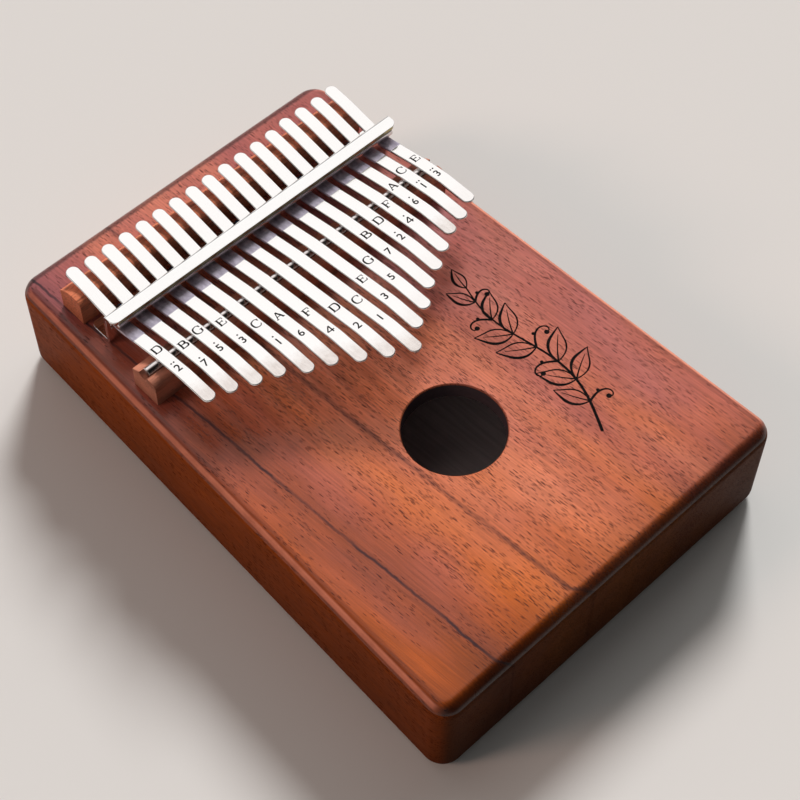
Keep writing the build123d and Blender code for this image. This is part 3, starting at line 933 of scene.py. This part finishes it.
def make_rear_bridge(bridge, tine):
    """The rear bridge, with a crown that falls away on both sides of its crest."""
    low, high = box_mm("rear_bridge")
    crest_y = low.y + bridge.crest_setback
    slope = tine.rear_slope
    crest_z = rear_line_height(tine, crest_y) - (tine.thickness / 2 + tine.seat_gap) * math.hypot(1, slope)
    crest = (crest_y, crest_z)
    nose = tangent_arc(crest, (-1, -slope), (low.y, crest_z - bridge.nose_drop), 6)
    crown = tangent_arc(crest, (1, slope), (high.y, crest_z - bridge.crown_drop), 12)
    outline = [*nose, (low.y, low.z), (high.y, low.z), *reversed(crown[1:])]
    return bridge_between(bridge, low, high, outline, "rear_bridge_wood")


def make_rod(bridge, node, name):
    """A steel rod along X with chamfered ends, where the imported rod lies."""
    low, high = box_mm(node)
    bm = bmesh.new()
    turn = Matrix.Translation((low + high) / 2) @ Matrix.Rotation(math.pi / 2, 4, "Y")
    radius = (high.y - low.y) / 2
    bmesh.ops.create_cone(
        bm, cap_ends=True, segments=40, radius1=radius, radius2=radius, depth=high.x - low.x, matrix=turn
    )
    bevel(bm, sharp_edges(bm, 60), bridge.rod_chamfer, 3)
    return finish_mesh(bm, name)


# ---- the tine's centreline ----


def rods():
    """The middles of the front rod and the pressure rod, as (y, z), and their radius."""
    pressure, radius = rod_of("pressure_rod")
    return rod_of("bridge_rod")[0], pressure, radius


def front_bend(tine):
    """Where a tine bends down behind the front rod."""
    bend_y = rods()[0][0] + tine.front_bend
    return bend_y, playing_line_height(tine, bend_y)


def valley_point(tine):
    """Where the slopes on each side of the pressure rod would meet if they weren't rounded."""
    _, (rod_y, rod_z), radius = rods()
    bend_y, bend_z = front_bend(tine)
    rear_angle = math.atan(tine.rear_slope)
    run_angle = rear_angle
    for _ in range(6):
        rounding = tine.middle_bend * (1 / math.cos((rear_angle + run_angle) / 2) - 1)
        drop = radius + tine.seat_gap + tine.thickness / 2 + rounding
        lean = (rear_angle - run_angle) / 2
        valley = rod_y + drop * math.sin(lean), rod_z - drop * math.cos(lean)
        run_angle = math.atan2(bend_z - valley[1], valley[0] - bend_y)
    return valley


def rear_line_height(tine, y):
    """The height of the centreline behind the pressure rod, as far as its last bend."""
    valley_y, valley_z = valley_point(tine)
    return valley_z + tine.rear_slope * (y - valley_y)


def playing_line_height(tine, y):
    """The height of the centreline over the front rod and on towards the tip."""
    (rod_y, rod_z), _, radius = rods()
    over = (radius + tine.seat_gap + tine.thickness / 2) * math.hypot(1, tine.playing_slope)
    return rod_z + over + tine.playing_slope * (rod_y - y)


def tine_corners(tine, tip_y, rear_y):
    """The corners of one tine's centreline from tip to rear, as (y, z, bend radius)."""
    bend_y = tip_y + tine.tip_reach
    bend_z = playing_line_height(tine, bend_y)
    tail_y = rods()[1][0] + tine.tail_start
    tail_z = rear_line_height(tine, tail_y)
    return [
        (tip_y, bend_z, 0),
        (bend_y, bend_z, tine.tip_bend),
        (*front_bend(tine), tine.middle_bend),
        (*valley_point(tine), tine.middle_bend),
        (tail_y, tail_z, tine.tail_bend),
        (rear_y, tail_z + tine.tail_slope * (rear_y - tail_y), 0),
    ]


def bends(corners):
    """Each rounded corner as its first and last y, its centre, its radius and which way it turns."""
    found = []
    for before, corner, after in zip(corners, corners[1:], corners[2:]):
        slope_in = math.atan2(corner[1] - before[1], corner[0] - before[0])
        slope_out = math.atan2(after[1] - corner[1], after[0] - corner[0])
        radius = corner[2]
        reach = radius * math.tan(abs(slope_out - slope_in) / 2)
        start_y = corner[0] - reach * math.cos(slope_in)
        start_z = corner[1] - reach * math.sin(slope_in)
        end_y = corner[0] + reach * math.cos(slope_out)
        turn = math.copysign(1, slope_out - slope_in)
        centre = (start_y - turn * radius * math.sin(slope_in), start_z + turn * radius * math.cos(slope_in))
        found.append((start_y, end_y, centre, radius, turn))
    return found


def centreline(corners, curves, y):
    """The height and slope angle of a tine's centreline at one place along it."""
    for index, (start_y, end_y, centre, radius, turn) in enumerate(curves):
        if y < start_y:
            break
        if y <= end_y:
            away = y - centre[0]
            height = centre[1] - turn * math.sqrt(radius * radius - away * away)
            return height, turn * math.asin(away / radius)
    else:
        index = len(curves)
    (y0, z0, _), (y1, z1, _) = corners[index], corners[index + 1]
    return z0 + (z1 - z0) * (y - y0) / (y1 - y0), math.atan2(z1 - z0, y1 - y0)


def cut_and_bend(bm, corners):
    """Cut a flat strip where the centreline curves, and lay it along the centreline."""
    curves = bends(corners)
    for start_y, end_y, _, _, _ in curves:
        for step in range(8):
            y = start_y + (end_y - start_y) * step / 7
            geom = bm.verts[:] + bm.edges[:] + bm.faces[:]
            bmesh.ops.bisect_plane(bm, geom=geom, dist=1e-5, plane_co=(0, y, 0), plane_no=(0, 1, 0))
    for vert in bm.verts:
        height, angle = centreline(corners, curves, vert.co.y)
        above = vert.co.z
        vert.co.y -= above * math.sin(angle)
        vert.co.z = height + above * math.cos(angle)


def make_tine(tine, node, wear):
    """One tine: a strip with full-round ends and tumbled edges, laid along its centreline."""
    low, high = box_mm(node)
    width = high.x - low.x
    bm = bmesh.new()
    bmesh.ops.create_cube(bm, size=1)
    bmesh.ops.scale(bm, vec=(width, high.y - low.y, tine.thickness), verts=bm.verts)
    bmesh.ops.translate(bm, vec=((low.x + high.x) / 2, (low.y + high.y) / 2, 0), verts=bm.verts)
    uprights = [edge for edge in bm.edges if abs(edge.verts[0].co.z - edge.verts[1].co.z) > 0.5]
    bevel(bm, uprights, width / 2 - ROUND_SHORT, 12)
    bevel(bm, sharp_edges(bm, 60), tine.edge, 4)
    strip = bm.loops.layers.uv.new("strip")
    for face in bm.faces:
        for loop in face.loops:
            place = loop.vert.co
            loop[strip].uv = ((place.x - low.x) * MM, (place.y - low.y) * MM)
    cut_and_bend(bm, tine_corners(tine, low.y, high.y))
    piece = finish_mesh(bm, node + "_strip")
    attribute = piece.data.attributes.new("tip_wear", "FLOAT", "POINT")
    attribute.data.foreach_set("value", [wear] * len(piece.data.vertices))
    return piece


def mesh_of(data, name):
    """The mesh of a curve or text, which is then thrown away."""
    helper = bpy.data.objects.new(name, data)
    bpy.context.scene.collection.objects.link(helper)
    bpy.context.view_layer.update()
    mesh = bpy.data.meshes.new_from_object(helper.evaluated_get(bpy.context.evaluated_depsgraph_get()))
    bpy.data.objects.remove(helper)
    bpy.data.curves.remove(data)
    return mesh


def digit_mesh(digit, size, stroke, depth):
    """A flat, closed mesh of one digit about its middle."""
    data = bpy.data.curves.new("digit", "FONT")
    data.body = digit
    data.size = size
    data.extrude = depth
    data.offset = stroke
    data.align_x = "CENTER"
    data.resolution_u = 6
    mesh = mesh_of(data, "digit")
    middle = (min(v.co.y for v in mesh.vertices) + max(v.co.y for v in mesh.vertices)) / 2
    mesh.transform(Matrix.Translation((0, -middle, 0)))
    return mesh


def drawn_mesh(strokes, size, depth):
    """Pen strokes as a nearly flat mesh. Each stroke is a run of points: x, y and half its width."""
    data = bpy.data.curves.new("strokes", "CURVE")
    data.dimensions = "3D"
    data.bevel_depth = 1.0
    data.bevel_resolution = 1
    data.use_fill_caps = True
    data.resolution_u = 5
    heaviest = max(half for stroke in strokes for _, _, half in stroke)
    for stroke in strokes:
        spline = data.splines.new("NURBS")
        spline.points.add(len(stroke) - 1)
        for point, (x, y, half) in zip(spline.points, stroke):
            point.co = (x, y, 0, 1)
            point.radius = half
        spline.order_u = 3
        spline.use_endpoint_u = True
    mesh = mesh_of(data, "strokes")
    mesh.transform(Matrix.Diagonal((size, size, depth / heaviest, 1)))
    return mesh


def make_marks(tine, mark, node, letter, number, dots, from_tip):
    """One tine's letter, number and octave dots, laid on its surface."""
    low, high = box_mm(node)
    x = (low.x + high.x) / 2
    letter_y = low.y + from_tip
    number_y = letter_y - mark.number_drop
    strokes = LETTERS[letter]
    wide = max(across for stroke in strokes for across, _, _ in stroke)
    drawn = drawn_mesh(strokes, mark.letter_size, mark.depth)
    drawn.transform(Matrix.Translation((x - wide * mark.letter_size / 2, letter_y - mark.letter_size / 2, 0)))
    if number in LETTERS:
        height = DIGIT_HEIGHT * mark.number_size
        typed = drawn_mesh(LETTERS[number], height, mark.depth)
        typed.transform(Matrix.Translation((x - FOUR_MIDDLE * height, number_y - height / 2, 0)))
    else:
        typed = digit_mesh(number, mark.number_size, mark.stroke, mark.depth)
        typed.transform(Matrix.Translation((x, number_y, 0)))
    bm = bmesh.new()
    add_mesh(bm, drawn)
    add_mesh(bm, typed)
    for dot in range(dots):
        across = x + (dot - (dots - 1) / 2) * mark.dot_spacing
        place = (across, number_y + mark.dot_rise, 0)
        add_disc(bm, place, mark.dot_radius, mark.dot_radius, mark.depth, 20)
    merge(bm)
    bmesh.ops.translate(bm, vec=(0, 0, tine.thickness / 2), verts=bm.verts)
    cut_and_bend(bm, tine_corners(tine, low.y, high.y))
    return finish_mesh(bm, node + "_marks")


def stem_place(share_up):
    """A place on the sprig's stem, from its foot to its top."""
    sway = SWAY * math.sin(math.tau * SWAYS * share_up)
    return Vector((FOOT_X + RUN_X * share_up + sway, FOOT_Y + RUN_Y * share_up))


def leaf_strokes(base, angle, size, line):
    """A leaf drawn as one pen stroke round it and one along its middle."""
    way = Matrix.Rotation(angle, 2)
    round_it = (
        (0.0, 0.0, 0.35), (0.16, 0.20, 0.6), (0.52, 0.27, 1.0), (0.84, 0.10, 0.6), (1.0, 0.0, 0.3),
        (1.0, 0.0, 0.3), (0.82, -0.07, 0.4), (0.50, -0.22, 0.55), (0.18, -0.16, 0.4), (0.0, 0.0, 0.35),
    )
    middle = ((0.0, 0.0, 0.5), (0.35, 0.035, 0.4), (0.78, 0.0, 0.2))
    drawn = []
    for points in (round_it, middle):
        stroke = []
        for along, aside, weight in points:
            place = base + way @ Vector((along, aside)) * size
            stroke.append((place.x, place.y, line * weight))
        drawn.append(stroke)
    return drawn


def tendril_stroke(base, angle, size, turn, line):
    """A tendril that leaves the stem and curls up on itself."""
    stroke = []
    place, heading, step = base.copy(), angle, size * 0.30
    for index in range(12):
        stroke.append((place.x, place.y, line * (0.75 - 0.04 * index)))
        place = place + Vector((math.cos(heading), math.sin(heading))) * step
        heading += turn * (0.10 + 0.075 * index)
        step *= 0.90
    return stroke


def make_sprig(mark):
    """A leafy sprig with berries, drawn on the top to the right of the sound hole."""
    top = box_mm("body_block")[1].z
    count = mark.leaf_pairs
    strokes = [[(*stem_place(step / 9), mark.line * (0.9 - 0.05 * step)) for step in range(10)]]
    berries = []
    for pair in range(count):
        up = (pair + 1.2) / (count + 0.9)
        base = stem_place(up)
        lead = stem_place(up + 0.02) - stem_place(up - 0.02)
        heading = math.atan2(lead.y, lead.x)
        size = mark.leaf * (0.62 + 0.42 * math.sin(math.pi * (up * 0.8 + 0.15)))
        for side in (-1, 1):
            lean = heading + side * math.radians(54 - 16 * up)
            if (pair + (side > 0)) % 3:
                strokes += leaf_strokes(base, lean, size, mark.line)
            else:
                stroke = tendril_stroke(base, lean, size * 0.5, side, mark.line)
                strokes.append(stroke)
                berries.append((*stroke[-1][:2], BERRY))
                stalk = base + Vector((math.cos(lean), math.sin(lean))) * size * 0.4
                berries.append((stalk.x, stalk.y, BUD))
    crown = stem_place(1)
    strokes += leaf_strokes(crown, math.radians(78), mark.leaf * 0.7, mark.line)
    bm = bmesh.new()
    add_mesh(bm, drawn_mesh(strokes, 1, mark.depth))
    for x, y, radius in berries:
        add_disc(bm, (x, y, 0), radius, radius * 0.96, mark.depth, 24)
    merge(bm)
    bmesh.ops.translate(bm, vec=(0, 0, top), verts=bm.verts)
    return finish_mesh(bm, "sprig_print")


def flex(piece):
    """Bake a piece's place into its mesh."""
    (front_y, front_z), (press_y, _), radius = rods()
    start = (0, (press_y - radius) * MM, front_z * MM)
    end = (0, (front_y - radius) * MM, front_z * MM)
    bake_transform(piece)


# ---- bracket and screws ----


def sheet_section(bracket):
    """The bracket's outline in the YZ plane: a base, a web and a lip of one thickness."""
    low, high = box_mm("z_bracket")
    inner, outer = bracket.bend_radius, bracket.bend_radius + bracket.sheet
    web_front = web_front_y()
    web_rear = web_front + bracket.sheet
    lip_under, base_top = high.z - bracket.sheet, low.z + bracket.sheet
    over = arc((web_front - inner, lip_under - inner), outer, 90, 0, 6)
    under = arc((web_front - inner, lip_under - inner), inner, 0, 90, 4)
    inside = arc((web_rear + inner, base_top + inner), inner, 180, 270, 4)
    outside = arc((web_rear + inner, base_top + inner), outer, 270, 180, 6)
    rear_side = [(low.y, high.z)] + over + inside + [(high.y, base_top)]
    front_side = [(high.y, low.z)] + outside + under + [(low.y, lip_under)]
    return rear_side + front_side


def web_front_y():
    """The front of the bracket's web, just behind the pressure rod."""
    (press_y, _), radius = rod_of("pressure_rod")
    return press_y + radius + WEB_GAP


def with_slot_rows(outline, slot_z, reach):
    """The outline with the slots' upper and lower ends marked on the web's two faces.

    The web's faces are the outline's only upright runs that are longer than the slots."""
    section = []
    for place, after in zip(outline, outline[1:] + outline[:1]):
        section.append(place)
        if abs(place[0] - after[0]) < NEAR and abs(place[1] - after[1]) > 2 * reach:
            step = math.copysign(reach, after[1] - place[1])
            section += [(place[0], slot_z - step), (place[0], slot_z + step)]
    return section


def make_bracket(bracket, tine):
    """The Z bracket: one bent sheet with rounded lip corners and a slot for every tine."""
    low, high = box_mm("z_bracket")
    web_front = web_front_y()
    slot_z = rear_line_height(tine, web_front + bracket.sheet / 2)
    reach = tine.thickness / 2 + bracket.slot_end
    section = with_slot_rows(sheet_section(bracket), slot_z, reach)
    stops = [low.x]
    for node in TINES:
        tine_low, tine_high = box_mm(node)
        stops += [tine_low.x - bracket.slot_side, tine_high.x + bracket.slot_side]
    stops.append(high.x)
    bm = bmesh.new()
    line = [bm.verts.new((stops[0], y, z)) for y, z in section]
    edges = [bm.edges.new(pair) for pair in zip(line, line[1:] + line[:1])]
    bm.faces.new(line)
    for start, end in zip(stops, stops[1:]):
        made = bmesh.ops.extrude_edge_only(bm, edges=edges)["geom"]
        moved = [item for item in made if isinstance(item, bmesh.types.BMVert)]
        edges = [item for item in made if isinstance(item, bmesh.types.BMEdge)]
        edges = [edge for edge in edges if abs(edge.verts[0].co.x - edge.verts[1].co.x) < NEAR]
        bmesh.ops.translate(bm, vec=(end - start, 0, 0), verts=moved)
    bmesh.ops.contextual_create(bm, geom=edges)
    bmesh.ops.recalc_face_normals(bm, faces=bm.faces)
    for start, end in zip(stops[1::2], stops[2::2]):
        cut_slot(bm, (start + end) / 2, slot_z)
    # the slots' rows leave the lip, so that its corners can be rounded
    bend_y = web_front - bracket.bend_radius
    lip_rows = [
        edge for edge in bm.edges
        if abs(edge.verts[0].co.x - edge.verts[1].co.x) < NEAR
        and low.x + 0.1 < edge.verts[0].co.x < high.x - 0.1
        and all(v.co.y < bend_y + 1e-3 and v.co.z > high.z - 1.01 * bracket.sheet for v in edge.verts)
    ]
    bmesh.ops.dissolve_edges(bm, edges=lip_rows, use_verts=True)
    for x in (low.x, high.x):
        for y in (low.y, high.y):
            corner = [
                edge for edge in bm.edges
                if all(abs(v.co.x - x) < NEAR and abs(v.co.y - y) < NEAR for v in edge.verts)
            ]
            bevel(bm, corner, bracket.lip_corner, 8)
    merge(bm)
    bevel(bm, sharp_edges(bm, 60), bracket.edge, 2)
    bmesh.ops.recalc_face_normals(bm, faces=bm.faces)
    bm.normal_update()
    for face in bm.faces:
        if face.calc_center_median().y < low.y + 0.5 * bracket.edge and face.normal.y < -0.5:
            face.material_index = 1
    return finish_mesh(bm, "bracket_sheet")


def cut_slot(bm, x, z):
    """Open a slot through the web where one face lies on each side of a place."""
    pair = []
    for face in bm.faces:
        middle = face.calc_center_median()
        if abs(face.normal.y) > 0.9 and abs(middle.x - x) < 0.1 and abs(middle.z - z) < 0.1:
            pair.append(face)
    rims = [edge for face in pair for edge in face.edges]
    bmesh.ops.delete(bm, geom=pair, context="FACES_ONLY")
    bmesh.ops.bridge_loops(bm, edges=rims)


# ---------------------------------------------------------------- operators


class PIANO_OT_soundbox(bpy.types.Operator):
    """Build the hollow wooden soundbox and its back panel"""

    bl_idname = "piano.soundbox"
    bl_label = "Soundbox"

    def execute(self, context):
        box = sizes("piano_soundbox")
        woods = mahogany(box, "mahogany_top", False), bare_wood(box), mahogany(box, "mahogany_side", True)
        settle(make_soundbox(box), woods, ["body_block"])
        settle(make_back_panel(box), woods, ["back_panel"])
        return {"FINISHED"}


class PIANO_OT_bridges(bpy.types.Operator):
    """Build the two wooden bridges and the two steel rods"""

    bl_idname = "piano.bridges"
    bl_label = "Bridges and rods"

    def execute(self, context):
        bridge, tine = sizes("piano_bridges"), sizes("piano_tines")
        front = bridge_wood("front_bridge_timber", bridge.front_wood, 0.35, 0.040)
        rear = bridge_wood("rear_bridge_timber", bridge.rear_wood, 0.80, 0.042)
        (front_y, _), (press_y, _), radius = rods()
        steel = rod_steel("front_rod_steel", front_y, radius, (0.95, 0.88, 0.87))
        bright = rod_steel("pressure_rod_bright_steel", press_y - radius, radius, (0.95, 0.86, 0.85))
        settle(make_front_bridge(bridge), [front], ["front_bridge"])
        settle(make_rear_bridge(bridge, tine), [rear], ["rear_bridge"])
        for node, metal in (("bridge_rod", steel), ("pressure_rod", bright)):
            settle(make_rod(bridge, node, node + "_steel"), [metal], [node])
        return {"FINISHED"}


class PIANO_OT_bracket(bpy.types.Operator):
    """Build the Z bracket and finish its screws"""

    bl_idname = "piano.bracket"
    bl_label = "Bracket and screws"

    def execute(self, context):
        bracket, tine = sizes("piano_bracket"), sizes("piano_tines")
        chrome = plated_steel("bracket_chrome", (0.97, 0.96, 0.955), 0.05, 0.08, dimmest=0.985)
        cut = plated_steel("bracket_cut_edge", (0.50, 0.43, 0.22), 0.30, 0.42)
        dark = plated_steel("screw_dark_steel", (0.34, 0.46, 0.66), 0.22, 0.36)
        settle(make_bracket(bracket, tine), [chrome, cut], ["z_bracket"])
        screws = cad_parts["bracket_screws"]
        screws.data.materials.clear()
        screws.data.materials.append(dark)
        return {"FINISHED"}


class PIANO_OT_tines(bpy.types.Operator):
    """Build the tines and the note marks on them"""

    bl_idname = "piano.tines"
    bl_label = "Tines and note marks"

    def execute(self, context):
        tine, mark = sizes("piano_tines"), sizes("piano_marks")
        steel = tine_steel()
        ink = black_ink("note_mark_black", mark.ink, 900)
        for node, (*marks, wear) in zip(TINES, MARKS):
            strip = make_tine(tine, node, wear)
            settle(strip, [steel], [node], body=None)
            flex(strip)
            figures = make_marks(tine, mark, node, *marks)
            settle(figures, [ink], body=None, evened=False)
            flex(figures)
        return {"FINISHED"}


class PIANO_OT_sprig(bpy.types.Operator):
    """Draw the sprig on the soundbox"""

    bl_idname = "piano.sprig"
    bl_label = "Sprig"

    def execute(self, context):
        mark = sizes("piano_marks")
        ink = black_ink("sprig_black_print", mark.ink, 500)
        settle(make_sprig(mark), [ink], evened=False)
        return {"FINISHED"}


class PIANO_OT_stage(bpy.types.Operator):
    """Set the floor, the lights and the camera"""

    bl_idname = "piano.stage"
    bl_label = "Stage"

    def execute(self, context):
        stage = sizes("piano_stage")
        make_floor(stage)
        make_world(stage)
        make_lights(stage)
        make_camera(stage)
        context.scene.view_settings.view_transform = "Standard"
        return {"FINISHED"}


def make_floor(stage):
    """A wide, plain, pale floor."""
    material, tree, shader = new_material("stage_floor")
    shade = mix(seen_mask(tree), stage.bounce, stage.floor)
    fill(shader, {"Base Color": shade, "Roughness": 0.9, "Specular IOR Level": 0.1})
    bm = bmesh.new()
    bmesh.ops.create_grid(bm, x_segments=1, y_segments=1, size=FLOOR_SIZE)
    floor = finish_mesh(bm, "stage_floor")
    floor.data.materials.append(material)


def make_world(stage):
    """A dim room with one tall, bright wall behind the object, and a pale horizon."""
    world = bpy.data.worlds.new("stage_world")
    world.use_nodes = True
    tree = world.node_tree
    across, along, up = parts(output(tree, "ShaderNodeTexCoord", which="Generated"))
    wall = soft_step(along - up * stage.wall_lean, -0.03, 0.04)
    wall = wall * soft_step(across, -0.42, -0.22) * soft_step(up, 0.22, 0.38)
    seen = seen_mask(tree)
    shown = seen * (1 - stage.wall_share) + stage.wall_share
    left = soft_step(across, -0.2, -0.8) * stage.left_level
    level = wall * shown * stage.wall_level + left + stage.ambient
    horizon = soft_step(up, 0.16, 0.07) * seen * stage.horizon_level
    strength = level.maths("MAXIMUM", horizon)
    fill(tree.nodes["Background"], {"Strength": strength, "Color": (1.0, 0.985, 0.97)})
    bpy.context.scene.world = world


def make_lights(stage):
    """A soft key from behind on the right, a low light from the right and a warm rim on the left."""
    lights = (
        ("key_light", (0.66, 0.47, 0.577), stage.key_level, stage.key_angle, (1, 1, 1)),
        ("side_light", (0.88, 0.16, 0.40), stage.side_level, 2 * stage.key_angle, (1, 0.97, 0.94)),
        ("rim_light", (-0.76, 0.40, 0.50), stage.rim_level, stage.key_angle, (1, 0.66, 0.54)),
    )
    for name, way, level, angle, tint in lights:
        data = bpy.data.lights.new(name, "SUN")
        data.energy = level * math.pi
        data.angle = angle
        data.color = tint
        light = bpy.data.objects.new(name, data)
        light.visible_glossy = False
        light.rotation_euler = Vector(way).to_track_quat("Z", "Y").to_euler()
        bpy.context.scene.collection.objects.link(light)


def make_camera(stage):
    """The camera, looking down on the front left corner."""
    data = bpy.data.cameras.new("stage_camera")
    data.lens = stage.lens
    data.sensor_width = 36
    data.clip_start, data.clip_end = 0.01, 50
    camera = bpy.data.objects.new("stage_camera", data)
    across, up = math.cos(stage.elevation), math.sin(stage.elevation)
    back = Vector((math.sin(stage.azimuth) * across, -math.cos(stage.azimuth) * across, up))
    camera.location = AIM + back * stage.distance * MM
    camera.rotation_mode = "QUATERNION"
    camera.rotation_quaternion = (-back).to_track_quat("-Z", "Y") @ Quaternion(UP, stage.roll)
    bpy.context.scene.collection.objects.link(camera)
    bpy.context.scene.camera = camera


class PIANO_PT_panel(bpy.types.Panel):
    """Lists the pieces and their sizes"""

    bl_idname = "PIANO_PT_panel"
    bl_label = "Thumb Piano"
    bl_space_type = "VIEW_3D"
    bl_region_type = "UI"
    bl_category = "Thumb Piano"

    def draw(self, context):
        for operator in OPERATORS:
            self.layout.operator(operator.bl_idname)
        for name, settings in SETTINGS.items():
            group = getattr(context.scene, name)
            box = self.layout.box()
            box.label(text=settings.__name__)
            for prop in settings.__annotations__:
                box.prop(group, prop)


OPERATORS = (
    PIANO_OT_soundbox, PIANO_OT_bridges, PIANO_OT_bracket, PIANO_OT_tines, PIANO_OT_sprig, PIANO_OT_stage,
)


def register():
    for item in (*SETTINGS.values(), *OPERATORS, PIANO_PT_panel):
        bpy.utils.register_class(item)
    for name, settings in SETTINGS.items():
        setattr(bpy.types.Scene, name, PointerProperty(type=settings))


def unregister():
    for name in SETTINGS:
        delattr(bpy.types.Scene, name)
    for item in reversed((*SETTINGS.values(), *OPERATORS, PIANO_PT_panel)):
        bpy.utils.unregister_class(item)


def main():
    """Build every piece and the stage."""
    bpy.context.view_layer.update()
    register()
    bpy.ops.piano.soundbox()
    bpy.ops.piano.bridges()
    bpy.ops.piano.bracket()
    bpy.ops.piano.tines()
    bpy.ops.piano.sprig()
    bpy.ops.piano.stage()


if __name__ == "__main__":
    main()
